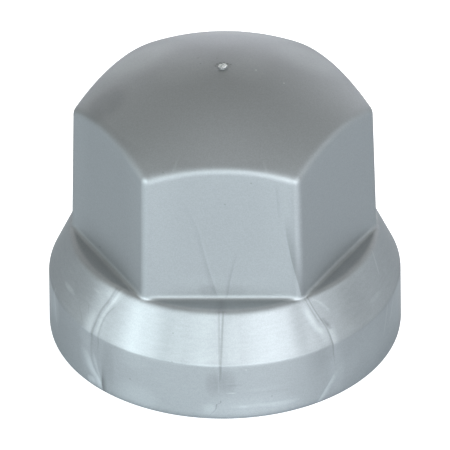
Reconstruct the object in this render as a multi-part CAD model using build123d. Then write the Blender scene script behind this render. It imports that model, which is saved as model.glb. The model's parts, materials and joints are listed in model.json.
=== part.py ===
from build123d import *
import os
from math import atan2, cos, degrees, radians, sin, sqrt, tan

# Push-on cover cap for a hexagonal wheel nut with a round flange.
# Millimetres and degrees. The open end stands on z = 0, the nut's axis is Z,
# one hexagon flat faces -Y and two corners lie on the X axis.

# The nut that the cap covers
nut_across_flats = 32.0
nut_flange_diameter = 46.0
flange_bore_depth = 8.0

# Fits, each on one side of the nut
flange_clearance = 0.3
nut_clearance = 1.05
grip_interference = 0.1

# Wall thicknesses
skirt_wall = 2.2
collar_wall = 2.0
hexagon_wall = 2.0
crown_wall = 2.2

# Round collar
skirt_height = 9.3
skirt_draft = 1.2
cone_height = 7.0
ledge_width = 2.9
ledge_edge_radius = 1.1
break_radius = 1.2
rim_outer_radius = 0.8
rim_inner_radius = 0.4
inner_ledge_radius = 0.5

# Hexagon and crown
hexagon_height = 19.05
hexagon_draft = 1.9
hexagon_corner_radius = 1.6
inner_corner_radius = 0.5
crown_radius = 35.4
crown_edge_radius = 1.5
inner_crown_edge_radius = 0.6
foot_radius = 0.6

# Grip ribs on the inner flats
ribs_per_flat = 2
rib_spacing = 9.0
rib_tip_width = 0.8
rib_root_width = 1.4
rib_lead_in = 2.5
rib_start = 0.9

# Broken-off gate stub at the apex
gate_diameter = 1.3
gate_height = 0.35
gate_break_tilt = 14.0
gate_dimple_diameter = 2.6
gate_dimple_depth = 0.12
gate_root_depth = 0.6

# Sizes that follow from those above
flats = 6
half_turn_between_flats = 180.0 / flats
corner_reach_ratio = 1.0 / cos(radians(half_turn_between_flats))
bore_radius = nut_flange_diameter / 2 + flange_clearance
base_radius = bore_radius + skirt_wall
break_radius_at = base_radius - skirt_height * tan(radians(skirt_draft))
ledge_height = skirt_height + cone_height
ledge_apothem = nut_across_flats / 2 + nut_clearance + hexagon_wall
ledge_radius = ledge_apothem + ledge_width
cone_slope = degrees(atan2(cone_height, break_radius_at - ledge_radius))
corner_height = ledge_height + hexagon_height
rib_tip_apothem = nut_across_flats / 2 - grip_interference
overlap = 1.0


def apothem_at(height, wall=0.0):
    """Distance from the axis to a flat, at a height, for the outside or for a surface one wall inside."""
    return ledge_apothem - wall - (height - ledge_height) * tan(radians(hexagon_draft))


def crown_centre():
    """Height of the crown's centre, so that its sphere passes through the hexagon's corners."""
    reach = apothem_at(corner_height) * corner_reach_ratio
    return corner_height - sqrt(crown_radius**2 - reach**2)


def apex_height():
    """Height of the crown's top."""
    return crown_centre() + crown_radius


def inner_ledge_height():
    """Height of the ledge's underside."""
    return ledge_height - collar_wall


def inner_cone_radius(height):
    """Radius of the cone's inside, one wall in from its outside."""
    outside = ledge_radius + (ledge_height - height) / tan(radians(cone_slope))
    return outside - collar_wall / sin(radians(cone_slope))


def spin(points, radii):
    """Solid of revolution from a profile of (radius, height) points whose corners are rounded."""
    outline = FilletPolyline(*[(r, 0, z) for r, z in points], radius=radii)
    closing = Polyline(outline @ 1, outline @ 0)
    body = revolve(make_face([*outline.edges(), *closing.edges()]), Axis.Z)
    return Rot(0, 0, half_turn_between_flats) * body


def collar_outside():
    """Skirt, cone and ledge as one turned body."""
    points = [
        (0, 0),
        (base_radius, 0),
        (break_radius_at, skirt_height),
        (ledge_radius, ledge_height),
        (0, ledge_height),
    ]
    return spin(points, [rim_outer_radius, break_radius, ledge_edge_radius])


def collar_inside():
    """Hollow of the collar: the flange's bore, the inner cone and the ledge's underside."""
    top = inner_ledge_height()
    points = [
        (0, -overlap),
        (bore_radius, -overlap),
        (bore_radius, flange_bore_depth),
        (inner_cone_radius(top), top),
        (0, top),
    ]
    hollow = spin(points, [0, 0, inner_ledge_radius])
    mouth = Cone(bore_radius + rim_inner_radius, bore_radius, rim_inner_radius)
    return hollow + Pos(0, 0, rim_inner_radius / 2) * mouth


def tapered_hexagon(low, high, wall, corner_radius):
    """Hexagonal prism with drafted flats and rounded corners, between two heights."""
    section = RegularPolygon(apothem_at(low, wall), flats, major_radius=False)
    prism = extrude(Pos(0, 0, low) * section, high - low, taper=hexagon_draft)
    upright_edges = prism.edges().group_by(Axis.Z)[1]
    return fillet(upright_edges, corner_radius)


def crowned_hexagon(low, wall, roof, corner_radius, edge_radius):
    """Hexagon closed by the spherical crown, with its crown edges rounded."""
    ball_radius = crown_radius - roof
    high = crown_centre() + ball_radius + overlap
    body = tapered_hexagon(low, high, wall, corner_radius)
    body = body & (Pos(0, 0, crown_centre()) * Sphere(ball_radius))
    crown = body.faces().sort_by(Axis.Z)[-1]
    return fillet(crown.edges(), edge_radius)


def cap_outside():
    """Outer form: the crowned hexagon standing on the collar, with a fillet along its foot."""
    collar = collar_outside()
    root = inner_ledge_height()
    hexagon = crowned_hexagon(root, 0, 0, hexagon_corner_radius, crown_edge_radius)
    body = collar + hexagon
    foot = new_edges(collar, hexagon, combined=body)
    return fillet(foot, foot_radius)


def grip_rib(side, offset):
    """One grip rib on a flat: a bar, narrower at its tip, with a sloping lead-in for the nut."""
    start = inner_ledge_height() + rib_start
    end = apex_height()
    wall_apothem = apothem_at(start, hexagon_wall)
    section = Polygon(
        (rib_tip_apothem, -rib_tip_width / 2),
        (ledge_apothem, -rib_root_width / 2),
        (ledge_apothem, rib_root_width / 2),
        (rib_tip_apothem, rib_tip_width / 2),
    )
    bar = extrude(Pos(0, 0, start) * section, end - start)
    lead = Polygon(
        (rib_tip_apothem, start),
        (wall_apothem, start),
        (rib_tip_apothem, start + rib_lead_in),
    )
    wedge = extrude(Plane.XZ * lead, rib_root_width, both=True)
    return Rot(0, 0, side) * Pos(0, offset, 0) * (bar - wedge)


def nut_hollow():
    """Hollow for the nut, with the grip ribs standing into it from its flats."""
    low = inner_ledge_height() - overlap
    hollow = crowned_hexagon(low, hexagon_wall, crown_wall, inner_corner_radius, inner_crown_edge_radius)
    first = -rib_spacing * (ribs_per_flat - 1) / 2
    for flat in range(flats):
        side = half_turn_between_flats + flat * 360.0 / flats
        for rib in range(ribs_per_flat):
            hollow -= grip_rib(side, first + rib * rib_spacing)
    return hollow


def gate_stub():
    """What is left of the gate: a short stub whose top broke off at a slant."""
    root = apex_height() - gate_root_depth
    radius = gate_diameter / 2
    length = gate_height + gate_root_depth
    bottom = (Align.CENTER, Align.CENTER, Align.MIN)
    stub = Pos(0, 0, root) * Cylinder(radius, length, align=bottom)
    low_side = apex_height() + gate_height - radius * tan(radians(gate_break_tilt))
    broken_off = Box(length * 2, length * 2, length, align=bottom)
    return stub - Pos(0, 0, low_side) * Rot(gate_break_tilt, 0, 0) * broken_off


def gate_dimple():
    """Shallow dish round the gate."""
    half = gate_dimple_diameter / 2
    rise = gate_dimple_depth
    ball = (half**2 + rise**2) / (2 * rise)
    return Pos(0, 0, apex_height() - rise + ball) * Sphere(ball)


def nut_cover_cap():
    """The whole moulding."""
    shell = cap_outside() - (collar_inside() + nut_hollow())
    return shell - gate_dimple() + gate_stub()


os.makedirs("parts", exist_ok=True)
cap = nut_cover_cap()
export_step(cap, "parts/nut_cover_cap.step")
box = cap.bounding_box()
print("size", box.size, "solids", len(cap.solids()), "cone slope", round(cone_slope, 2))
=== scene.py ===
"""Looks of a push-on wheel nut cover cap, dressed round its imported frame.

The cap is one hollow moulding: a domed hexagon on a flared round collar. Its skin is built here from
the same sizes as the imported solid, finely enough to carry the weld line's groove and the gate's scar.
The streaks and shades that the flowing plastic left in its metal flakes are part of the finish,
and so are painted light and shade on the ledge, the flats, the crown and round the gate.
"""
import json
import logging
import math
from dataclasses import dataclass
from enum import Enum

import bpy
import numpy as np
from mathutils import Matrix, Vector


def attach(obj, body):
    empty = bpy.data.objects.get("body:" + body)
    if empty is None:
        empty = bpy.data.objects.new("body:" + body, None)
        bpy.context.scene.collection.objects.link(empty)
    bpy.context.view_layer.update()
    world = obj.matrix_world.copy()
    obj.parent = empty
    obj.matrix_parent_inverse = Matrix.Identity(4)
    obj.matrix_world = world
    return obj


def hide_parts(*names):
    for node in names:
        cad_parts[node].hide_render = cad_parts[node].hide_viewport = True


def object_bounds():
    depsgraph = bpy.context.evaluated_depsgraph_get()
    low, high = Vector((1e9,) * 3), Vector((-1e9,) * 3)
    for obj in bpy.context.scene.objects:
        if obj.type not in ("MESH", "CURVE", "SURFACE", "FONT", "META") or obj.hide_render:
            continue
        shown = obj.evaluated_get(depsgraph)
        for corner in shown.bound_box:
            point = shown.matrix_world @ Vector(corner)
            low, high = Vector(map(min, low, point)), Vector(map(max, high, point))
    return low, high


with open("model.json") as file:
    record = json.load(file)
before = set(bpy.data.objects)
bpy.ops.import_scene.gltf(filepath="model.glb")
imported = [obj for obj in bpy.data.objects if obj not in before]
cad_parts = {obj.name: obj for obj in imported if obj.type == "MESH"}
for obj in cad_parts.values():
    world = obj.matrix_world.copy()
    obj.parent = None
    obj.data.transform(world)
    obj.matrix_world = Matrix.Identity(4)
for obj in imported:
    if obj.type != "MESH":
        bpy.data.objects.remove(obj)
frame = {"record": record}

LOG = logging.getLogger("nut_cover_cap")
MM = 0.001
PHOTO_SIDE = 450
FLATS = 6
HALF_FLAT = 180.0 / FLATS
CAD_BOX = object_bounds()
Point = tuple[float, float, float]
Reading = tuple[np.ndarray, np.ndarray]
Socket = bpy.types.NodeSocket

# Shortest length that a vector is divided by, and the most that two faces may agree and still be rounded
TINY = 1e-9
NEARLY_PARALLEL = 0.98


def mount_size(name: str, key: str) -> float:
    """Reads a size of one of the record's mounts.

    Args:
        name: The mount's name.
        key: The size's name in the mount's dims.

    Returns:
        The size as the record states it.
    """
    return next(m["dims"][key] for m in frame["record"]["mounts"] if m["name"] == name)


@dataclass(frozen=True)
class CapSizes:
    """Sizes of the moulding in millimetres and degrees, named as in the part's source."""

    top_height: float = CAD_BOX[1][2] / MM
    bore_radius: float = mount_size("flange_bore", "r_mm")
    skirt_wall: float = 2.2
    flange_bore_depth: float = 8.0
    collar_wall: float = 2.0
    hexagon_wall: float = 2.0
    crown_wall: float = 2.2
    skirt_height: float = 9.3
    skirt_draft: float = 1.2
    cone_height: float = 7.0
    ledge_width: float = 2.9
    ledge_edge_radius: float = 1.1
    break_radius: float = 1.2
    rim_outer_radius: float = 0.8
    rim_inner_radius: float = 0.4
    inner_ledge_radius: float = 0.5
    ledge_apothem: float = 19.05
    hexagon_height: float = 19.05
    hexagon_draft: float = 1.9
    hexagon_corner_radius: float = 1.6
    inner_corner_radius: float = 0.5
    crown_radius: float = 35.4
    crown_edge_radius: float = 1.5
    inner_crown_edge_radius: float = 0.6
    foot_radius: float = 0.6
    rib_spacing: float = 9.0
    rib_tip_apothem: float = 15.9
    rib_tip_width: float = 0.8
    rib_root_width: float = 1.4
    rib_lead_in: float = 2.5
    rib_start: float = 0.9
    gate_diameter: float = 1.3
    gate_dimple_diameter: float = 2.6
    gate_dimple_depth: float = 0.12

    @property
    def base_radius(self) -> float:
        """Radius of the rim's sharp outer edge."""
        return self.bore_radius + self.skirt_wall

    @property
    def ledge_height(self) -> float:
        """Height of the ledge round the hexagon's foot."""
        return self.skirt_height + self.cone_height

    @property
    def ledge_radius(self) -> float:
        """Radius of the ledge's sharp outer edge."""
        return self.ledge_apothem + self.ledge_width

    @property
    def break_radius_at(self) -> float:
        """Radius of the sharp edge between skirt and cone."""
        return self.base_radius - self.skirt_height * math.tan(math.radians(self.skirt_draft))

    @property
    def inner_ledge_height(self) -> float:
        """Height of the ledge's underside."""
        return self.ledge_height - self.collar_wall

    @property
    def inner_ledge_reach(self) -> float:
        """Works out where the inner cone ends.

        Returns:
            Radius of the inner cone at the ledge's underside.
        """
        run = self.break_radius_at - self.ledge_radius
        slope = math.atan2(self.cone_height, run)
        outside = self.ledge_radius + self.collar_wall / math.tan(slope)
        return outside - self.collar_wall / math.sin(slope)

    @property
    def crown_centre(self) -> float:
        """Finds the crown's sphere, which passes through the hexagon's corners.

        Returns:
            Height of the sphere's centre.
        """
        corner_height = self.ledge_height + self.hexagon_height
        reach = self.apothem_at(corner_height, 0.0) / math.cos(math.radians(HALF_FLAT))
        return corner_height - math.sqrt(self.crown_radius**2 - reach**2)

    @property
    def apex_height(self) -> float:
        """Height of the crown's top, without the gate stub."""
        return self.crown_centre + self.crown_radius

    def apothem_at(self, height: float | np.ndarray, wall: float) -> float | np.ndarray:
        """Distance from the axis to a flat.

        Args:
            height: Height above the rim.
            wall: How far inside the outer flat to measure.

        Returns:
            The distance at that height.
        """
        lean = math.tan(math.radians(self.hexagon_draft))
        return self.ledge_apothem - wall - (height - self.ledge_height) * lean


def norm(vectors: np.ndarray) -> np.ndarray:
    """Lengths of vectors, never quite zero."""
    return np.maximum(np.linalg.norm(vectors, axis=-1), TINY)


def overlap_of(first: Reading, second: Reading, radius: float) -> Reading:
    """Intersects two forms and rounds their edge as a ball rolled along it would.

    Args:
        first: Signed distances and outward normals of one form.
        second: The same for the other form.
        radius: Radius of the rounding.

    Returns:
        Signed distances and normals of the rounded intersection.
    """
    (near, normal), (far, other) = first, second
    cosine = np.clip((normal * other).sum(-1), -NEARLY_PARALLEL, NEARLY_PARALLEL)
    sine_squared = 1.0 - cosine**2
    along = (near + radius - cosine * (far + radius)) / sine_squared
    across = (far + radius - cosine * (near + radius)) / sine_squared
    arm = along[..., None] * normal + across[..., None] * other
    rounded = (along > 0) & (across > 0)
    distance = np.where(rounded, norm(arm) - radius, np.maximum(near, far))
    sharp = np.where((near > far)[..., None], normal, other)
    return distance, np.where(rounded[..., None], arm / norm(arm)[..., None], sharp)


def union_of(first: Reading, second: Reading, radius: float) -> Reading:
    """Joins two forms and fills their inner corner with a fillet.

    Args:
        first: Signed distances and outward normals of one form.
        second: The same for the other form.
        radius: Radius of the fillet.

    Returns:
        Signed distances and normals of the joined form.
    """
    distance, normal = overlap_of((-first[0], -first[1]), (-second[0], -second[1]), radius)
    return -distance, -normal


@dataclass(frozen=True)
class CapForm:
    """Signed distances to the moulding's surfaces, in millimetres."""

    sizes: CapSizes

    def wall_reach(
        self, turn: np.ndarray, height: np.ndarray, wall: float, rounding: float,
    ) -> np.ndarray:
        """Radius of a drafted hexagon wall with rounded corners.

        Args:
            turn: Angle from the middle of the nearest flat, in radians.
            height: Height above the rim.
            wall: How far inside the outer flat the wall stands.
            rounding: Radius of the hexagon's corners.

        Returns:
            Distance from the axis to the wall.
        """
        apothem = self.sizes.apothem_at(height, wall)
        half_flat = math.radians(HALF_FLAT)
        centre = (apothem - rounding) / math.cos(half_flat)
        from_corner = half_flat - np.abs(turn)
        tangent = np.arctan2(rounding / 2, centre + rounding * math.cos(half_flat))
        inside_root = np.maximum(rounding**2 - (centre * np.sin(from_corner)) ** 2, 0.0)
        corner = centre * np.cos(from_corner) + np.sqrt(inside_root)
        return np.where(from_corner < tangent, corner, apothem / np.cos(turn))

    def hexagon(self, points: np.ndarray) -> Reading:
        """Reads the outer hexagon's drafted flats and rounded corners.

        Args:
            points: Points as an array whose last axis is x, y, z.

        Returns:
            Signed distances and normals.
        """
        sizes = self.sizes
        draft = math.radians(sizes.hexagon_draft)
        x, y, z = np.moveaxis(points, -1, 0)
        angle = np.arctan2(y, x)
        sector = math.radians(2 * HALF_FLAT)
        facing = np.round((angle - sector / 2) / sector) * sector + sector / 2
        turn = angle - facing
        radius = np.hypot(x, y)
        core = sizes.apothem_at(z, 0.0) - sizes.hexagon_corner_radius
        out = radius * np.cos(turn) - core
        side = radius * np.sin(turn)
        beyond = np.maximum(np.abs(side) - core * math.tan(sector / 2), 0.0)
        at_corner = (beyond > 0) & (out > 0)
        reach = np.maximum(np.hypot(out, beyond), TINY)
        distance = np.where(at_corner, reach, out) - sizes.hexagon_corner_radius
        ahead = np.where(at_corner, out / reach, 1.0)
        aside = np.where(at_corner, np.sign(side) * beyond / reach, 0.0)
        normal = np.stack([
            (ahead * np.cos(facing) - aside * np.sin(facing)) * math.cos(draft),
            (ahead * np.sin(facing) + aside * np.cos(facing)) * math.cos(draft),
            np.full_like(x, math.sin(draft)),
        ], -1)
        return distance * math.cos(draft), normal

    def crown(self, points: np.ndarray) -> Reading:
        """Reads the crown's sphere."""
        arm = points - np.array([0.0, 0.0, self.sizes.crown_centre])
        return norm(arm) - self.sizes.crown_radius, arm / norm(arm)[..., None]

    def turned(
        self, points: np.ndarray, start: tuple[float, float], end: tuple[float, float],
    ) -> Reading:
        """Reads a turned surface whose profile is a straight line.

        Args:
            points: Points as an array whose last axis is x, y, z.
            start: Radius and height of the line's lower end.
            end: Radius and height of its upper end.

        Returns:
            Signed distances and normals, outside being to the right of the line.
        """
        run, rise = end[0] - start[0], end[1] - start[1]
        length = math.hypot(run, rise)
        outward, upward = rise / length, -run / length
        radius = np.maximum(np.hypot(points[..., 0], points[..., 1]), TINY)
        distance = (radius - start[0]) * outward + (points[..., 2] - start[1]) * upward
        normal = np.stack([
            outward * points[..., 0] / radius,
            outward * points[..., 1] / radius,
            np.full_like(radius, upward),
        ], -1)
        return distance, normal

    def collar(self, points: np.ndarray) -> Reading:
        """Reads the collar: ledge, cone, skirt and rim with their rounded edges.

        Args:
            points: Points as an array whose last axis is x, y, z.

        Returns:
            Signed distances and normals.
        """
        sizes = self.sizes
        break_at = (sizes.break_radius_at, sizes.skirt_height)
        ledge_edge = (sizes.ledge_radius, sizes.ledge_height)
        ledge = self.turned(points, ledge_edge, (0.0, sizes.ledge_height))
        cone = self.turned(points, break_at, ledge_edge)
        skirt = self.turned(points, (sizes.base_radius, 0.0), break_at)
        base = self.turned(points, (0.0, 0.0), (sizes.base_radius, 0.0))
        body = overlap_of(ledge, cone, sizes.ledge_edge_radius)
        body = overlap_of(body, skirt, sizes.break_radius)
        return overlap_of(body, base, sizes.rim_outer_radius)

    def outside(self, points: np.ndarray) -> Reading:
        """Reads the whole outer form."""
        hexagon = overlap_of(self.hexagon(points), self.crown(points), self.sizes.crown_edge_radius)
        return union_of(hexagon, self.collar(points), self.sizes.foot_radius)


class Nodes:
    """Small helper that adds and links shader nodes of one node tree."""

    def __init__(self, tree: bpy.types.NodeTree) -> None:
        """Keeps the tree and clears it."""
        self.tree = tree
        tree.nodes.clear()

    def add(self, kind: str, settings: dict | None = None, **inputs: object) -> bpy.types.Node:
        """Adds a node.

        Args:
            kind: The node's type name.
            settings: Properties of the node.
            **inputs: Values or sockets for its inputs. An input's name has underscores for spaces,
                or is i0, i1 and so on, which count the inputs.

        Returns:
            The node.
        """
        node = self.tree.nodes.new(kind)
        for key, value in (settings or {}).items():
            setattr(node, key, value)
        for key, value in inputs.items():
            counted = key[0] == "i" and key[1:].isdigit()
            plug = node.inputs[int(key[1:]) if counted else key.replace("_", " ")]
            if isinstance(value, bpy.types.NodeSocket):
                self.tree.links.new(value, plug)
            else:
                plug.default_value = value
        return node

    def math(self, operation: str, first: object, second: object = 0.0, third: object = 0.0) -> Socket:
        """Adds a math node.

        Args:
            operation: The operation's name.
            first: First value or socket.
            second: Second value or socket.
            third: Third value or socket.

        Returns:
            The result's socket.
        """
        settings = {"operation": operation}
        return self.add("ShaderNodeMath", settings, i0=first, i1=second, i2=third).outputs[0]

    def ramp(self, value: object, low: object, high: object, start: object, end: object) -> Socket:
        """Adds a smooth, clamped change of a value from one range to another.

        Args:
            value: The value or socket that changes.
            low: Where the change starts.
            high: Where it ends.
            start: Result at the start.
            end: Result at the end.

        Returns:
            The result's socket.
        """
        settings = {"interpolation_type": "SMOOTHSTEP"}
        node = self.add("ShaderNodeMapRange", settings, i0=value, i1=low, i2=high, i3=start, i4=end)
        return node.outputs[0]

    def curve(self, value: Socket, stops: list[tuple[float, float]]) -> Socket:
        """Adds a smooth curve from places to results, all of them between 0 and 1.

        Args:
            value: The socket that runs along the curve.
            stops: Places and results, in rising order of place.

        Returns:
            The result's socket.
        """
        node = self.add("ShaderNodeFloatCurve", Value=value)
        line = node.mapping.curves[0]
        while len(line.points) < len(stops):
            line.points.new(0.5, 0.5)
        for point, stop in zip(line.points, stops):
            point.location = stop
            point.handle_type = "AUTO_CLAMPED"
        node.mapping.update()
        return node.outputs[0]


class Fade(Enum):
    """How a mark dies out sideways, as the share of its width that keeps the full tone."""

    CRISP = 0.45
    SOFT = 0.0


# Millimetres along the collar for each degree round the axis
COLLAR_STEP = 0.41


@dataclass(frozen=True)
class FlowAndPaintedLightMark:
    """A streak along a path round and down the cap: some are left by the flowing plastic in the flakes,
    others are painted light and shade.

    Its tone is how much lighter or darker it is, and left and right are its half widths in degrees. The
    path's points are degrees from the front, millimetres above the rim, and strength.
    """

    tone: float
    left: float
    right: float
    path: tuple[Point, ...]
    fade: Fade = Fade.SOFT

    def add_to(self, nodes: Nodes, azimuth: Socket, height: Socket, total: Socket) -> Socket:
        """Adds the streak's tone to those of the other marks.

        Args:
            nodes: The helper that adds the nodes.
            azimuth: Degrees from the front.
            height: Millimetres above the rim.
            total: The tone so far.

        Returns:
            The tone with this streak.
        """
        rising = sorted(self.path, key=lambda point: point[1])
        low, high = rising[0][1], rising[-1][1]
        first = min(point[0] for point in rising)
        span = max(point[0] for point in rising) - first + 0.01
        places = [(z - low) / (high - low) for _, z, _ in rising]
        share = nodes.add("ShaderNodeMapRange", None, i0=height, i1=low, i2=high, i3=0.0, i4=1.0).outputs[0]
        bend = nodes.curve(share, [(place, (a - first) / span) for place, (a, _, _) in zip(places, rising)])
        off = nodes.math("MULTIPLY_ADD", bend, -span, azimuth)
        left = nodes.math("MULTIPLY_ADD", off, -1.0 / self.left, first / self.left)
        right = nodes.math("MULTIPLY_ADD", off, 1.0 / self.right, -first / self.right)
        mask = nodes.ramp(nodes.math("MAXIMUM", left, right), self.fade.value, 1.0, self.tone, 0.0)
        strength = nodes.curve(share, [(place, s) for place, (_, _, s) in zip(places, rising)])
        return nodes.math("MULTIPLY_ADD", mask, strength, total)


@dataclass(frozen=True)
class Patch:
    """An oval patch of darker or lighter flakes; some patches are painted shade instead.

    Its place and half widths are in degrees from the front and millimetres above the rim.
    """

    tone: float
    azimuth: float
    height: float
    half_turn: float
    half_height: float

    def add_to(self, nodes: Nodes, azimuth: Socket, height: Socket, total: Socket) -> Socket:
        """Adds the patch's tone to those of the other marks.

        Args:
            nodes: The helper that adds the nodes.
            azimuth: Degrees from the front.
            height: Millimetres above the rim.
            total: The tone so far.

        Returns:
            The tone with this patch.
        """
        turn, rise = self.half_turn, self.half_height
        across = nodes.math("MULTIPLY_ADD", azimuth, 1.0 / turn, -self.azimuth / turn)
        along = nodes.math("MULTIPLY_ADD", height, 1.0 / rise, -self.height / rise)
        squared = nodes.math("MULTIPLY_ADD", across, across, nodes.math("MULTIPLY", along, along))
        return nodes.math("ADD", nodes.ramp(squared, 0.0, 1.0, self.tone, 0.0), total)


@dataclass(frozen=True)
class Spot:
    """A round spot in millimetres: a speck of dirt, a nick, a dab of painted shade or broad painted light
    and shade.

    Out to its core, a share of its radius, it has its full tone.
    """

    tone: float
    place: Point
    radius: float
    core: float = 0.3

    def add_to(self, nodes: Nodes, place: Socket, total: Socket) -> Socket:
        """Adds the spot's tone to those of the other marks.

        Args:
            nodes: The helper that adds the nodes.
            place: The place on the cap.
            total: The tone so far.

        Returns:
            The tone with this spot.
        """
        centre, radius = tuple(c * MM for c in self.place), self.radius * MM
        gap = nodes.add("ShaderNodeVectorMath", {"operation": "DISTANCE"}, i0=place, i1=centre)
        tone = nodes.ramp(gap.outputs["Value"], self.core * radius, radius, self.tone, 0.0)
        return nodes.math("ADD", tone, total)


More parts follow.
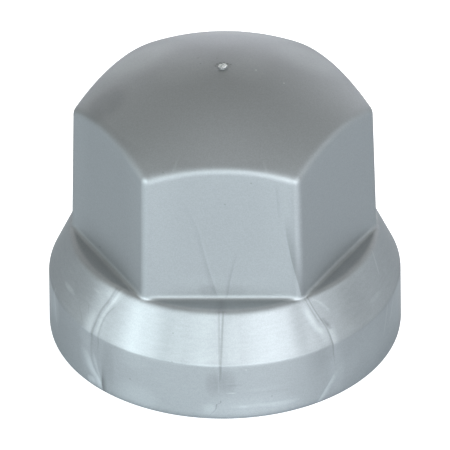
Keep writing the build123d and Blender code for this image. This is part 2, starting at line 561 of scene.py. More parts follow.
STREAKS = (
    # Front weld line: its two dark lines on the cone and skirt, and the fine crack below
    FlowAndPaintedLightMark(-0.26, 0.75, 0.6, (
        (0.4, 16.2, 0), (0.3, 15.5, 1), (-0.1, 13.0, 1), (-0.3, 11.0, 1), (-0.42, 10.0, 1), (-0.5, 9.0, 1),
        (-0.58, 8.0, 0.8), (-0.7, 7.3, 0.5), (-0.9, 6.5, 0))),
    FlowAndPaintedLightMark(-0.18, 0.75, 0.6, (
        (-1.15, 16.2, 0), (-1.12, 15.7, 1), (-1.05, 13.0, 1), (-1.0, 11.0, 0.8), (-1.05, 9.4, 0.35),
        (-1.1, 8.0, 0))),
    FlowAndPaintedLightMark(0.09, 0.25, 0.3, ((-1.25, 8.2, 0), (-1.25, 7.2, 1), (-1.25, 5.6, 1), (-1.25, 4.6, 0))),
    FlowAndPaintedLightMark(-0.36, 0.34, 0.34, (
        (-0.6, 3.5, 0), (-0.62, 3.35, 0.9), (-0.7, 3.12, 0.9), (-1.35, 2.95, 0.9), (-1.95, 2.8, 1),
        (-2.05, 2.4, 0.9), (-2.2, 2.05, 0.8), (-2.75, 1.65, 0.7), (-3.45, 1.3, 0.5), (-4.1, 0.95, 0.3),
        (-4.6, 0.7, 0))),
    # Front flat: the V above the weld line and the wedge at its right edge
    FlowAndPaintedLightMark(-0.11, 2.4, 0.4, (
        (-1.9, 16.5, 0), (-2.25, 16.85, 1), (-4.35, 19.3, 1), (-6.5, 22.1, 0.7), (-8.4, 24.9, 0.5),
        (-10.6, 28.0, 0.35), (-13.9, 30.9, 0.15), (-15.3, 32.2, 0))),
    FlowAndPaintedLightMark(0.035, 0.35, 1.2, (
        (-2.4, 17.6, 0), (-3.65, 19.3, 0.8), (-5.8, 22.1, 1), (-7.7, 24.9, 0.9), (-9.9, 28.0, 0.6),
        (-13.2, 30.9, 0))),
    FlowAndPaintedLightMark(-0.14, 1.7, 0.4, (
        (1.7, 16.5, 0), (2.1, 16.85, 1), (3.3, 19.5, 0.9), (4.6, 21.4, 0.6), (5.9, 23.1, 0.3),
        (7.0, 24.3, 0))),
    FlowAndPaintedLightMark(-0.25, 0.35, 3.6, (
        (30.6, 16.5, 0), (30.4, 16.9, 0.8), (29.1, 19.2, 1), (27.6, 21.8, 1), (26.4, 24.7, 0.8),
        (25.5, 27.3, 0.5), (25.3, 28.8, 0.2), (25.3, 30.0, 0))),
    FlowAndPaintedLightMark(-0.07, 0.3, 1.8, (
        (22.0, 35.2, 0), (22.1, 34.1, 0.8), (22.4, 32.5, 1), (22.7, 30.5, 0.8), (23.0, 28.5, 0))),
    # Painted shade along the front flat's right and left corners, dimming the highlights on their roundings
    FlowAndPaintedLightMark(-0.055, 3.5, 1.5, ((28.8, 16.9, 0), (28.8, 17.6, 1), (28.8, 34.5, 1), (28.8, 35.5, 0))),
    FlowAndPaintedLightMark(-0.04, 1.5, 1.5, ((-30.3, 16.9, 0), (-30.3, 17.6, 1), (-30.3, 34.5, 1), (-30.3, 35.5, 0))),
    # Right: double line on the cone, its dark blade and the bright streaks beside it
    FlowAndPaintedLightMark(-0.18, 0.38, 0.3, (
        (31.4, 16.25, 0), (31.6, 15.95, 1), (32.35, 15.0, 1), (33.3, 14.0, 1), (34.3, 13.0, 0.7),
        (35.1, 12.4, 0))),
    FlowAndPaintedLightMark(-0.25, 0.35, 0.4, (
        (32.6, 16.25, 0), (32.8, 15.95, 1), (33.55, 15.0, 1), (34.5, 14.0, 1), (35.5, 13.0, 1),
        (36.4, 12.0, 0.8), (37.05, 11.0, 0.9), (37.35, 10.0, 1), (37.5, 9.0, 0.9), (37.6, 8.0, 0.8),
        (37.85, 7.1, 0.5), (38.3, 5.3, 0))),
    FlowAndPaintedLightMark(0.1, 0.3, 0.35, (
        (32.3, 15.9, 0), (33.0, 15.0, 0.8), (33.95, 14.0, 1), (34.95, 13.0, 1), (35.5, 12.5, 0))),
    FlowAndPaintedLightMark(-0.24, 1.3, 1.3, (
        (35.9, 13.2, 0), (36.5, 12.7, 0.7), (37.3, 12.1, 1), (37.9, 11.6, 1), (38.4, 11.2, 0))),
    FlowAndPaintedLightMark(0.14, 1.5, 0.8, (
        (33.8, 16.2, 0), (34.6, 15.8, 0.6), (36.8, 15.15, 1), (38.8, 14.2, 1), (39.6, 13.6, 0.5),
        (40.0, 12.9, 0))),
    FlowAndPaintedLightMark(0.26, 0.3, 3.3, (
        (37.2, 11.9, 0), (37.7, 11.0, 1), (37.9, 10.0, 1), (38.0, 9.3, 0.8), (38.1, 8.9, 0.3),
        (38.5, 7.0, 0))),
    FlowAndPaintedLightMark(0.27, 2.3, 1.9, (
        (30.4, 15.7, 0), (30.9, 14.9, 0.6), (31.5, 14.1, 1), (32.3, 13.2, 1), (33.2, 12.2, 1),
        (34.0, 11.6, 0.8), (34.6, 11.15, 0.3), (35.0, 10.4, 0))),
    FlowAndPaintedLightMark(0.32, 0.7, 2.6, (
        (38.7, 4.8, 0), (37.2, 3.7, 0.6), (35.9, 3.0, 0.9), (34.2, 2.0, 1), (32.6, 1.1, 0.9),
        (31.9, 0.7, 0.7), (31.5, 0.3, 0))),
    FlowAndPaintedLightMark(-0.1, 8.5, 5.0, (
        (33.5, 9.4, 0), (33.0, 9.15, 1), (33.0, 8.0, 1), (32.5, 6.5, 0.7), (31.5, 5.0, 0.3),
        (31.0, 3.5, 0))),
    # Left: two dark lines with a light band between them
    FlowAndPaintedLightMark(-0.27, 0.7, 1.05, (
        (-42.5, 16.25, 0), (-42.9, 15.7, 0.7), (-44.5, 14.0, 1), (-45.6, 13.1, 1), (-46.35, 12.1, 1),
        (-46.7, 11.0, 1), (-46.9, 9.8, 1), (-46.9, 8.8, 0.6), (-47.1, 7.6, 0.5), (-47.3, 6.6, 0.45),
        (-46.9, 5.2, 0.3), (-46.4, 4.2, 0))),
    FlowAndPaintedLightMark(-0.17, 0.35, 0.85, (
        (-40.3, 14.1, 0), (-41.2, 13.7, 0.6), (-42.85, 12.8, 1), (-43.65, 12.0, 1), (-44.1, 11.2, 1),
        (-44.2, 10.3, 0.9), (-44.1, 9.3, 0.8), (-43.9, 8.3, 0.7), (-44.2, 7.2, 0.3), (-44.4, 6.3, 0))),
    FlowAndPaintedLightMark(0.2, 0.8, 1.3, (
        (-40.2, 16.25, 0), (-40.7, 15.8, 1), (-42.3, 14.2, 1), (-43.8, 13.0, 0.9), (-44.7, 11.8, 0.8),
        (-45.1, 10.0, 0.7), (-45.1, 9.2, 0))),
    FlowAndPaintedLightMark(0.15, 1.6, 2.2, (
        (-39.3, 16.3, 0), (-39.6, 15.8, 1), (-41.0, 14.8, 1), (-42.4, 13.9, 0.6), (-43.4, 12.9, 0))),
    FlowAndPaintedLightMark(0.22, 4.6, 1.2, (
        (-48.4, 12.4, 0), (-48.4, 11.2, 0.8), (-48.4, 10.2, 1), (-48.3, 9.35, 1), (-48.3, 9.0, 0))),
    FlowAndPaintedLightMark(-0.1, 0.5, 0.9, (
        (-56.6, 11.4, 0), (-55.8, 11.0, 0.8), (-54.2, 10.5, 1), (-53.0, 10.0, 1), (-52.2, 9.7, 0))),
    FlowAndPaintedLightMark(-0.12, 0.4, 0.5, ((-52.8, 12.5, 0), (-52.2, 12.1, 1), (-51.5, 11.5, 1), (-51.0, 11.2, 0))),
    FlowAndPaintedLightMark(0.46, 4.4, 1.4, (
        (-49.8, 6.2, 0), (-48.4, 4.9, 0.5), (-46.7, 3.5, 0.85), (-45.3, 2.75, 1), (-43.9, 1.95, 1),
        (-43.2, 1.3, 0.9), (-42.9, 0.8, 0.6), (-42.8, 0.3, 0))),
    FlowAndPaintedLightMark(0.24, 1.8, 0.8, (
        (-46.0, 6.0, 0), (-45.2, 5.0, 0.8), (-44.2, 3.6, 1), (-43.1, 2.0, 0.8), (-42.9, 1.2, 0))),
    FlowAndPaintedLightMark(-0.42, 0.25, 2.6, (
        (-42.3, 6.2, 0), (-42.35, 4.6, 0.22), (-42.35, 3.0, 0.6), (-42.35, 2.0, 1), (-42.2, 1.2, 1),
        (-42.1, 0.7, 0.8), (-42.0, 0.2, 0))),
    # Broad bands on the cone, where the flakes lie flatter or steeper
    FlowAndPaintedLightMark(0.19, 7.0, 6.0, (
        (-46.0, 16.3, 0), (-46.0, 15.8, 1), (-46.5, 14.0, 1), (-46.5, 9.4, 0.7), (-46.5, 9.1, 0))),
    FlowAndPaintedLightMark(0.14, 6.0, 6.0, ((-31.5, 16.3, 0), (-31.5, 15.0, 0.8), (-31.5, 9.4, 1), (-31.5, 9.1, 0))),
    FlowAndPaintedLightMark(-0.13, 6.5, 6.0, ((-19.5, 16.3, 0), (-19.5, 15.5, 0.9), (-19.5, 9.4, 1), (-19.5, 9.1, 0))),
    FlowAndPaintedLightMark(0.19, 8.0, 9.5, (
        (-6.0, 16.3, 0), (-6.0, 15.5, 1), (-6.0, 12.0, 0.8), (-6.0, 9.4, 1), (-6.0, 9.1, 0))),
    FlowAndPaintedLightMark(-0.15, 5.0, 4.0, (
        (27.0, 16.3, 0), (27.0, 15.5, 0.9), (27.0, 13.0, 1), (27.0, 9.4, 0.6), (27.0, 9.1, 0))),
    # Broad light bands on the skirt
    FlowAndPaintedLightMark(0.08, 38.0, 32.0, ((-2.0, 9.5, 0), (-2.0, 9.2, 1), (-2.0, 0.3, 1), (-2.0, 0.0, 1))),
    FlowAndPaintedLightMark(0.2, 13.0, 12.0, (
        (-78.0, 9.4, 0), (-78.0, 9.0, 1), (-78.0, 6.0, 0.8), (-78.0, 3.0, 0.2), (-78.0, 1.5, 0))),
    FlowAndPaintedLightMark(0.2, 14.0, 12.0, (
        (78.0, 9.4, 0), (78.0, 9.0, 1), (78.0, 6.0, 0.8), (78.0, 3.0, 0.4), (78.0, 1.5, 0))),
    # All round: painted light on the ledge, which stays darker in its front middle, and painted shade that
    # dulls the highlight on the edge between cone and skirt
    FlowAndPaintedLightMark(0.35, 85.0, 85.0, (
        (0.0, 16.6, 0), (0.0, 16.36, 0), (0.0, 16.3, 1), (0.0, 16.2, 0.5), (0.0, 16.1, 0))),
    FlowAndPaintedLightMark(-0.16, 3.5, 3.0, (
        (-0.4, 16.6, 0), (-0.4, 16.36, 0), (-0.4, 16.3, 1), (-0.4, 16.2, 1), (-0.4, 15.9, 0))),
    FlowAndPaintedLightMark(-0.05, 200.0, 200.0, ((0.0, 9.8, 0), (0.0, 9.4, 1), (0.0, 9.0, 0)), Fade.CRISP),
    # Flats: painted shade that darkens the front one upwards and painted light at its foot, and painted
    # shade on the left one, strongest at its foot
    FlowAndPaintedLightMark(-0.055, 29.0, 29.0, (
        (0.0, 37.9, 0), (0.0, 37.2, 0.8), (0.0, 34.0, 1), (0.0, 28.0, 0.9), (0.0, 22.0, 0.2),
        (0.0, 20.0, 0)), Fade.CRISP),
    FlowAndPaintedLightMark(0.045, 27.0, 27.0, (
        (0.0, 20.6, 0), (0.0, 18.6, 1), (0.0, 17.0, 1), (0.0, 16.6, 0)), Fade.CRISP),
    FlowAndPaintedLightMark(-0.09, 29.0, 29.0, (
        (-60.0, 37.9, 0), (-60.0, 37.2, 0.7), (-60.0, 34.0, 0.7), (-60.0, 22.0, 0.55), (-60.0, 20.0, 0.8),
        (-60.0, 18.5, 1), (-60.0, 17.0, 1), (-60.0, 16.6, 0)), Fade.CRISP),
    # Far left and far right: fine streaks seen at a slant
    FlowAndPaintedLightMark(0.2, 0.9, 0.9, (
        (-73.4, 10.2, 0), (-73.0, 9.2, 0.8), (-72.2, 7.8, 1), (-71.0, 5.6, 0.8), (-69.4, 4.0, 0))),
    FlowAndPaintedLightMark(0.16, 0.8, 0.8, ((72.6, 16.1, 0), (71.8, 15.4, 1), (70.6, 14.2, 1), (69.4, 12.8, 0))),
    FlowAndPaintedLightMark(0.13, 0.8, 0.8, ((66.6, 9.4, 0), (66.0, 8.0, 1), (64.6, 6.2, 0.8), (63.0, 4.4, 0))),
    FlowAndPaintedLightMark(0.14, 0.9, 0.9, ((72.8, 9.2, 0), (71.2, 8.0, 1), (69.4, 6.4, 0.8), (67.6, 5.2, 0))),
    # Two faint light streaks that run over the crown's front edge
    FlowAndPaintedLightMark(0.11, 1.0, 1.0, ((-19.9, 36.6, 0), (-19.9, 37.2, 1), (-19.9, 37.9, 0))),
    FlowAndPaintedLightMark(0.1, 1.0, 1.0, ((19.0, 36.6, 0), (19.0, 37.2, 1), (19.0, 37.9, 0))),
)

PATCHES = (
    # Foot of the front flat, beside the V
    Patch(-0.09, -6.0, 17.7, 5.0, 1.3),
    Patch(-0.055, 5.5, 17.7, 4.5, 1.3),
    # Dark smudge and light haze at the foot of the front weld line
    Patch(-0.13, -3.1, 6.3, 3.1, 2.5),
    Patch(-0.13, 1.6, 6.6, 3.4, 2.6),
    Patch(-0.05, -0.8, 6.5, 2.6, 2.8),
    Patch(0.12, -4.1, 2.0, 2.8, 1.2),
    Patch(0.25, 2.8, 4.72, 2.0, 0.14),
    Patch(0.07, 2.2, 6.3, 1.6, 0.1),
    Patch(0.12, 6.6, 2.3, 2.2, 0.25),
    Patch(0.08, 10.0, 2.4, 11.0, 0.4),
    Patch(0.11, 19.0, 2.1, 7.5, 0.5),
    Patch(0.05, 13.0, 5.0, 10.0, 0.5),
    Patch(-0.06, 3.6, 6.0, 3.4, 0.25),
    # Broad shades on the skirt and the cone
    Patch(0.11, 9.0, 1.6, 21.0, 3.2),
    Patch(0.11, -29.0, 1.8, 9.5, 3.2),
    Patch(0.07, -30.0, 8.0, 6.5, 2.0),
    Patch(-0.08, -39.5, 5.5, 3.2, 5.0),
    Patch(0.32, -47.3, 1.25, 2.4, 0.8),
    Patch(0.1, -49.0, 4.8, 5.0, 3.4),
    Patch(0.09, -50.0, 8.0, 4.5, 1.8),
    Patch(0.1, -71.5, 7.2, 5.0, 2.6),
    Patch(-0.06, -57.5, 13.7, 8.0, 2.6),
    Patch(0.06, 3.4, 12.0, 3.2, 4.5),
    Patch(0.12, 35.4, 11.2, 2.2, 1.9),
    Patch(0.09, 39.0, 4.6, 4.0, 4.6),
    Patch(-0.07, 51.0, 12.8, 9.0, 4.2),
    Patch(0.12, -43.0, 15.2, 3.6, 1.3),
    Patch(0.06, 44.0, 4.2, 6.0, 2.6),
    Patch(0.08, 60.0, 5.8, 17.0, 4.6),
    # Painted shade at the foot of the side flats, where they meet the ledge
    Patch(-0.16, -60.0, 16.5, 24.0, 0.2),
    Patch(-0.16, 60.0, 16.5, 24.0, 0.2),
    # Light streaks on the far sides
    Patch(0.09, -51.0, 14.5, 3.2, 0.25),
    Patch(0.2, -65.5, 11.95, 5.2, 0.45),
    Patch(0.1, 62.0, 11.35, 4.8, 0.5),
)

SPOTS = (
    # Specks of dirt and nicks on the flats and the collar, and two bright nicks on the crown
    Spot(-0.22, (0.5, -18.54, 31.76), 0.18),
    Spot(-0.22, (4.09, -18.43, 35.12), 0.18),
    Spot(-0.2, (-7.93, -17.87, 36.56), 0.18),
    Spot(-0.3, (-17.44, -7.81, 17.49), 0.2),
    Spot(-0.22, (-6.85, -22.53, 12.97), 0.17),
    Spot(-0.22, (-7.01, -24.31, 9.31), 0.17),
    Spot(-0.22, (-13.03, -21.8, 4.6), 0.19),
    Spot(-0.22, (6.87, -24.48, 3.6), 0.17),
    Spot(0.25, (3.3, -25.11, 8.51), 0.17),
    Spot(0.18, (0.44, -25.1, 8.05), 0.2),
    Spot(0.7, (4.68, -0.29, 42.14), 0.16),
    Spot(0.6, (8.58, -2.41, 41.31), 0.16),
    # Broad soft painted light and shade on the crown
    Spot(0.2, (-12.1, 7.0, 39.6), 7.5),
    Spot(-0.15, (-16.2, -2.9, 38.4), 4.6),
    Spot(-0.09, (0.0, 8.5, 41.4), 8.5),
    Spot(0.15, (12.1, 7.0, 39.6), 6.5),
    Spot(0.06, (-5.5, 0.5, 42.0), 6.0),
    Spot(0.06, (3.5, 0.0, 42.3), 4.5),
    # Painted shade in the corner round the back of the gate, and nicks behind it
    Spot(-0.35, (-0.95, 0.35, 42.4), 0.2),
    Spot(-0.3, (-0.75, 0.85, 42.4), 0.24),
    Spot(-0.35, (-0.3, 1.1, 42.4), 0.24),
    Spot(-0.35, (0.2, 1.15, 42.4), 0.24),
    Spot(-0.3, (0.7, 0.95, 42.4), 0.24),
    Spot(-0.3, (1.15, 0.75, 42.4), 0.22),
    Spot(-0.25, (-0.8, 2.55, 42.35), 0.17),
    Spot(-0.25, (-3.1, 1.2, 42.3), 0.17),
    Spot(-0.25, (-3.45, 2.9, 42.15), 0.2),
)


@dataclass(frozen=True)
class FlakePlastic:
    """Moulded plastic filled with fine metal flakes.

    Fine streaks lie round the cap as if brushed: collar_gain times as strong on the collar as on the
    hexagon above hexagon_foot, and skirt_share of that on the skirt below skirt_top. Heights are in
    millimetres, and each pair is where a change starts and ends.
    """

    name: str = "silver_flake_plastic"
    colour: tuple[float, float, float] = (0.317, 0.338, 0.346)
    metallic: float = 1.0
    roughness: float = 0.58
    edge_tint: float = 0.6
    flake_size: float = 0.11
    flake_contrast: float = 0.045
    grain_stretch: float = 2.5
    grain_depth: float = 0.002
    brushing: float = 0.035
    brushing_pitch: float = 0.5
    brushing_stretch: float = 4.0
    collar_gain: float = 4.0
    skirt_share: float = 0.5
    skirt_top: tuple[float, float] = (9.0, 9.6)
    hexagon_foot: tuple[float, float] = (16.0, 16.6)
    streaks: tuple[FlowAndPaintedLightMark, ...] = STREAKS
    patches: tuple[Patch, ...] = PATCHES
    spots: tuple[Spot, ...] = SPOTS

    def marked(self, nodes: Nodes, place: Socket) -> Socket:
        """Adds up the tones of all marks: those that the moulding left in the flakes, and painted light and
        shade.

        Args:
            nodes: The helper that adds the nodes.
            place: The place on the cap.

        Returns:
            The factor by which the finish is darker or lighter there.
        """
        parts = nodes.add("ShaderNodeSeparateXYZ", Vector=place).outputs
        height = nodes.math("MULTIPLY", parts[2], 1.0 / MM)
        round_axis = nodes.math("ARCTAN2", parts[0], nodes.math("MULTIPLY", parts[1], -1.0))
        azimuth = nodes.math("WRAP", nodes.math("DEGREES", round_axis), 90.0, -90.0)
        along = nodes.math("MULTIPLY", azimuth, COLLAR_STEP / self.brushing_stretch)
        sheet = nodes.add("ShaderNodeCombineXYZ", X=along, Y=height).outputs[0]
        fine = 1.0 / self.brushing_pitch
        noise = nodes.add("ShaderNodeTexNoise", Vector=sheet, Scale=fine, Detail=2.0).outputs[0]
        on_cone = nodes.ramp(height, *self.skirt_top, self.skirt_share, 1.0)
        on_collar = nodes.ramp(height, *self.hexagon_foot, self.collar_gain * self.brushing, self.brushing)
        brushed = nodes.math("MULTIPLY", on_cone, on_collar)
        total = nodes.math("MULTIPLY_ADD", nodes.math("SUBTRACT", noise, 0.5), brushed, 1.0)
        for mark in (*self.streaks, *self.patches):
            total = mark.add_to(nodes, azimuth, height, total)
        for spot in self.spots:
            total = spot.add_to(nodes, place, total)
        return total

    def make(self) -> bpy.types.Material:
        """Makes the material.

        Returns:
            The material.
        """
        material = bpy.data.materials.new(self.name)
        material.use_nodes = True
        nodes = Nodes(material.node_tree)
        place = nodes.add("ShaderNodeTexCoord").outputs["Object"]
        flakes = nodes.add("ShaderNodeTexVoronoi", Vector=place, Scale=1.0 / (self.flake_size * MM))
        tone = nodes.add("ShaderNodeSeparateColor", Color=flakes.outputs["Color"]).outputs[0]
        glint = nodes.ramp(tone, 0.0, 1.0, 1.0 - self.flake_contrast, 1.0 + self.flake_contrast)
        colour = nodes.add("ShaderNodeVectorMath", {"operation": "SCALE"}, i0=self.colour)
        shade = nodes.math("MULTIPLY", glint, self.marked(nodes, place))
        nodes.tree.links.new(shade, colour.inputs["Scale"])
        coarse = 1.0 / (self.grain_stretch * self.flake_size * MM)
        grain = nodes.add("ShaderNodeTexNoise", Vector=place, Scale=coarse, Detail=3.0).outputs[0]
        bump = nodes.add("ShaderNodeBump", Strength=0.5, Distance=self.grain_depth * MM, Height=grain)
        surface = nodes.add(
            "ShaderNodeBsdfPrincipled", Metallic=self.metallic, Roughness=self.roughness,
            Specular_Tint=(self.edge_tint, self.edge_tint, self.edge_tint, 1.0),
        )
        nodes.tree.links.new(colour.outputs[0], surface.inputs["Base Color"])
        nodes.tree.links.new(bump.outputs[0], surface.inputs["Normal"])
        nodes.add("ShaderNodeOutputMaterial", Surface=surface.outputs[0])
        return material


@dataclass(frozen=True)
class BrokenPlastic:
    """Stress-whitened plastic where the gate broke off: pale and dull crumbs on top, darker sides."""

    name: str = "broken_plastic"
    pale: tuple[float, float, float] = (0.6, 0.615, 0.61)
    dull: tuple[float, float, float] = (0.3, 0.34, 0.34)
    side: tuple[float, float, float] = (0.14, 0.15, 0.155)
    roughness: float = 0.6
    crumb_size: float = 0.3125
    crumb_depth: float = 0.02
    crumb_edge: tuple[float, float] = (0.36, 0.5)
    top_edge: tuple[float, float] = (0.25, 0.6)

    def make(self) -> bpy.types.Material:
        """Makes the material.

        Returns:
            The material.
        """
        material = bpy.data.materials.new(self.name)
        material.use_nodes = True
        nodes = Nodes(material.node_tree)
        place = nodes.add("ShaderNodeTexCoord").outputs["Object"]
        fine = 1.0 / (self.crumb_size * MM)
        crumbs = nodes.add("ShaderNodeTexNoise", Vector=place, Scale=fine, Detail=4.0).outputs[0]
        bump = nodes.add("ShaderNodeBump", Strength=0.6, Distance=self.crumb_depth * MM, Height=crumbs)
        share = nodes.ramp(crumbs, *self.crumb_edge, 0.0, 1.0)
        mixed = {"data_type": "RGBA"}
        top = nodes.add("ShaderNodeMix", mixed, i0=share, i6=(*self.dull, 1.0), i7=(*self.pale, 1.0))
        normal = nodes.add("ShaderNodeNewGeometry").outputs["Normal"]
        facing = nodes.add("ShaderNodeSeparateXYZ", Vector=normal)
        upward = nodes.ramp(facing.outputs[2], *self.top_edge, 0.0, 1.0)
        whole = nodes.add("ShaderNodeMix", mixed, i0=upward, i6=(*self.side, 1.0), i7=top.outputs[2])
        surface = nodes.add("ShaderNodeBsdfPrincipled", Roughness=self.roughness)
        nodes.tree.links.new(whole.outputs[2], surface.inputs["Base Color"])
        nodes.tree.links.new(bump.outputs[0], surface.inputs["Normal"])
        nodes.add("ShaderNodeOutputMaterial", Surface=surface.outputs[0])
        return material


def new_piece(
    name: str, points: list[Point], faces: list[tuple[int, ...]], sharp_angle: float,
) -> bpy.types.Object:
    """Adds a closed, smoothly shaded piece to the scene.

    Args:
        name: The piece's name.
        points: Its points in millimetres.
        faces: Its faces, as places in the list of points.
        sharp_angle: The angle in degrees from which an edge stays sharp.

    Returns:
        The mesh object, in metres.
    """
    mesh = bpy.data.meshes.new(name)
    mesh.from_pydata([tuple(c * MM for c in point) for point in points], [], faces)
    mesh.shade_smooth()
    mesh.set_sharp_from_angle(angle=math.radians(sharp_angle))
    mesh.validate()
    piece = bpy.data.objects.new(name, mesh)
    bpy.context.scene.collection.objects.link(piece)
    return piece


def dress_piece(piece: bpy.types.Object, material: bpy.types.Material) -> None:
    """Puts a finish on a piece and fixes the piece to the cap's body.

    Args:
        piece: The piece.
        material: Its finish.
    """
    piece.data.materials.append(material)
    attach(piece, "root")


@dataclass(frozen=True)
class Relief:
    """The weld line's twin groove in the front and the back of the collar, in millimetres.

    It deepens over weld_fade below the ledge, and dies out at skirt_share of the skirt's height.
    """

    sizes: CapSizes
    weld_depth: float = 0.015
    weld_width: float = 0.28
    weld_gap: float = 0.42
    weld_aside: float = -0.26
    weld_fade: float = 0.8
    skirt_share: float = 0.5
    ledge_margin: float = 1.2

    def height_at(self, points: np.ndarray) -> np.ndarray:
        """Reads how deep the groove is.

        Args:
            points: Points of the outer form.

        Returns:
            How far each point moves along its normal.
        """
        x, y, z = np.moveaxis(points, -1, 0)
        across = np.where(y < 0, x, -x) - self.weld_aside
        half_gap, half_width = self.weld_gap / 2, self.weld_width / 2
        pair = sum(np.exp(-(((across - side * half_gap) / half_width) ** 2)) for side in (-1, 1))
        top = np.clip((self.sizes.ledge_height - z) / self.weld_fade, 0, 1)
        end = self.sizes.skirt_height * self.skirt_share
        low = np.clip((z - end) / (self.sizes.skirt_height - end), 0, 1)
        on_collar = np.hypot(x, y) > self.sizes.ledge_radius - self.ledge_margin
        return np.where(on_collar, -self.weld_depth * pair * top * low, 0.0)


@dataclass
class CapSkin:
    """The moulding's whole skin, outside and inside, as one closed mesh.

    Its columns run down the outside and up the inside, close together where the form turns: the turns
    are degrees from the middle of a flat or, for a corner, from that corner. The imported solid's facets
    cut a little off its round collar, so the skin is narrowed by box_share to stay inside its box.
    """

    sizes: CapSizes
    form: CapForm
    relief: Relief
    finish: FlakePlastic = FlakePlastic()
    fill_step: float = 1.5
    crown_rows: int = 20
    wall_rows: int = 34
    ledge_rows: int = 14
    cone_rows: int = 20
    skirt_rows: int = 20
    rim_rows: int = 8
    weld_turns: tuple[float, ...] = (0.0, 0.3, 0.6, 0.9, 1.2, 1.5, 1.9, 2.4)
    corner_turns: tuple[float, ...] = (0.0, 0.35, 0.7, 1.05, 1.4, 1.75, 2.13, 2.6, 3.2)
    scar_radii: tuple[float, ...] = (0.35, 0.7, 0.95, 1.12, 1.25, 1.45, 1.8)
    bore_shares: tuple[float, ...] = (0.0, 0.3, 0.6, 0.9, 1.0)
    inner_cone_shares: tuple[float, ...] = (0.25, 0.5, 0.75, 1.0)
    short_shares: tuple[float, ...] = (0.33, 0.67, 1.0)
    inner_wall_shares: tuple[float, ...] = (0.2, 0.4, 0.6, 0.8, 1.0)
    ceiling_shares: tuple[float, ...] = (0.9, 0.78, 0.65, 0.52, 0.4, 0.28, 0.16, 0.06)
    edge_share: float = 0.8
    inner_corner_turn: float = 29.0
    edge_rounds: int = 8
    rounding_rounds: int = 12
    least_slope: float = 0.05
    sharp_angle: float = 35.0
    box_share: float = 0.99976

    def rib_half_width(self, apothem: np.ndarray) -> np.ndarray:
        """Works out how wide a grip rib is.

        Args:
            apothem: Distance from the axis, straight out from the middle of the flat.

        Returns:
            Half the rib's width there.
        """
        sizes = self.sizes
        share = (apothem - sizes.rib_tip_apothem) / (sizes.ledge_apothem - sizes.rib_tip_apothem)
        return (sizes.rib_tip_width + (sizes.rib_root_width - sizes.rib_tip_width) * share) / 2

    def rib_turns(self) -> list[float]:
        """Finds the columns that follow the grip rib on one side of a flat.

        Returns:
            Their angles in degrees from the middle of the flat.
        """
        apothem = float(self.sizes.apothem_at(self.sizes.inner_ledge_height, self.sizes.hexagon_wall))
        middle = self.sizes.rib_spacing / 2
        half_root = float(self.rib_half_width(np.float64(apothem)))
        half_tip = self.sizes.rib_tip_width / 2
        places = [middle - half_root, middle - half_tip, middle + half_tip, middle + half_root]
        return [math.degrees(math.atan2(p, apothem)) for p in places]

    def sector_turns(self) -> np.ndarray:
        """Spreads the mesh columns over one flat, closer where its form turns.

        Returns:
            Angles from the middle of the flat, in radians, rising from one corner to the next.
        """
        corner = (HALF_FLAT - t for t in self.corner_turns)
        fixed = sorted([*self.weld_turns, *self.rib_turns(), *corner])
        side = [fixed[0]]
        for stop in fixed[1:]:
            steps = max(1, math.ceil((stop - side[-1]) / self.fill_step))
            start = side[-1]
            side += [start + (stop - start) * (k + 1) / steps for k in range(steps)]
        turns = sorted({round(t, 5) for t in side} | {round(-t, 5) for t in side})
        return np.radians(turns[:-1])

    def columns(self) -> tuple[np.ndarray, np.ndarray]:
        """Lays out the mesh columns of all flats.

        Returns:
            The direction that each column's flat faces and its turn from there, in radians.
        """
        turns = self.sector_turns()
        facings = [math.radians(-90.0 + 360.0 / FLATS * k) for k in range(FLATS)]
        return np.repeat(facings, len(turns)), np.tile(turns, FLATS)

    def outer_profile(self, turn: np.ndarray) -> np.ndarray:
        """Draws each column's outer profile with sharp edges, from the apex to the rim.

        Args:
            turn: Each column's angle from the middle of its flat, in radians.

        Returns:
            Radii and heights, with rows along the profile and columns round the axis.
        """
        sizes = self.sizes
        rounding = sizes.hexagon_corner_radius
        edge_height = np.full_like(turn, sizes.ledge_height + sizes.hexagon_height)
        for _ in range(self.edge_rounds):
            reach = self.form.wall_reach(turn, edge_height, 0.0, rounding)
            edge_height = sizes.crown_centre + np.sqrt(sizes.crown_radius**2 - reach**2)
        ledge = np.full_like(turn, sizes.ledge_height)
        foot = self.form.wall_reach(turn, ledge, 0.0, rounding)
        rows = []
        first = self.scar_radii[-1]
        late = np.sin(np.arange(1, self.crown_rows + 1) / self.crown_rows * math.pi / 2)
        for radius in [*self.scar_radii, *(first + (reach - first) * t for t in late)]:
            ring = np.broadcast_to(radius, turn.shape)
            rows.append((ring, sizes.crown_centre + np.sqrt(sizes.crown_radius**2 - ring**2)))
        for t in self.both_ends(self.wall_rows):
            height = edge_height + (sizes.ledge_height - edge_height) * t
            rows.append((self.form.wall_reach(turn, height, 0.0, rounding), height))
        for t in self.both_ends(self.ledge_rows):
            rows.append((foot + (sizes.ledge_radius - foot) * t, ledge))
        corners = [
            (sizes.ledge_radius, sizes.ledge_height),
            (sizes.break_radius_at, sizes.skirt_height),
            (sizes.base_radius, 0.0),
            (sizes.bore_radius + sizes.rim_inner_radius, 0.0),
        ]
        counts = (self.cone_rows, self.skirt_rows, self.rim_rows)
        for (r0, z0), (r1, z1), count in zip(corners, corners[1:], counts):
            for t in self.both_ends(count):
                radius, height = r0 + (r1 - r0) * t, z0 + (z1 - z0) * t
                rows.append((np.full_like(turn, radius), np.full_like(turn, height)))
        return np.array([np.stack(row, -1) for row in rows])

    def both_ends(self, count: int) -> np.ndarray:
        """Fractions above 0 and up to 1 that crowd towards both ends."""
        return (1 - np.cos(np.arange(1, count + 1) / count * math.pi)) / 2

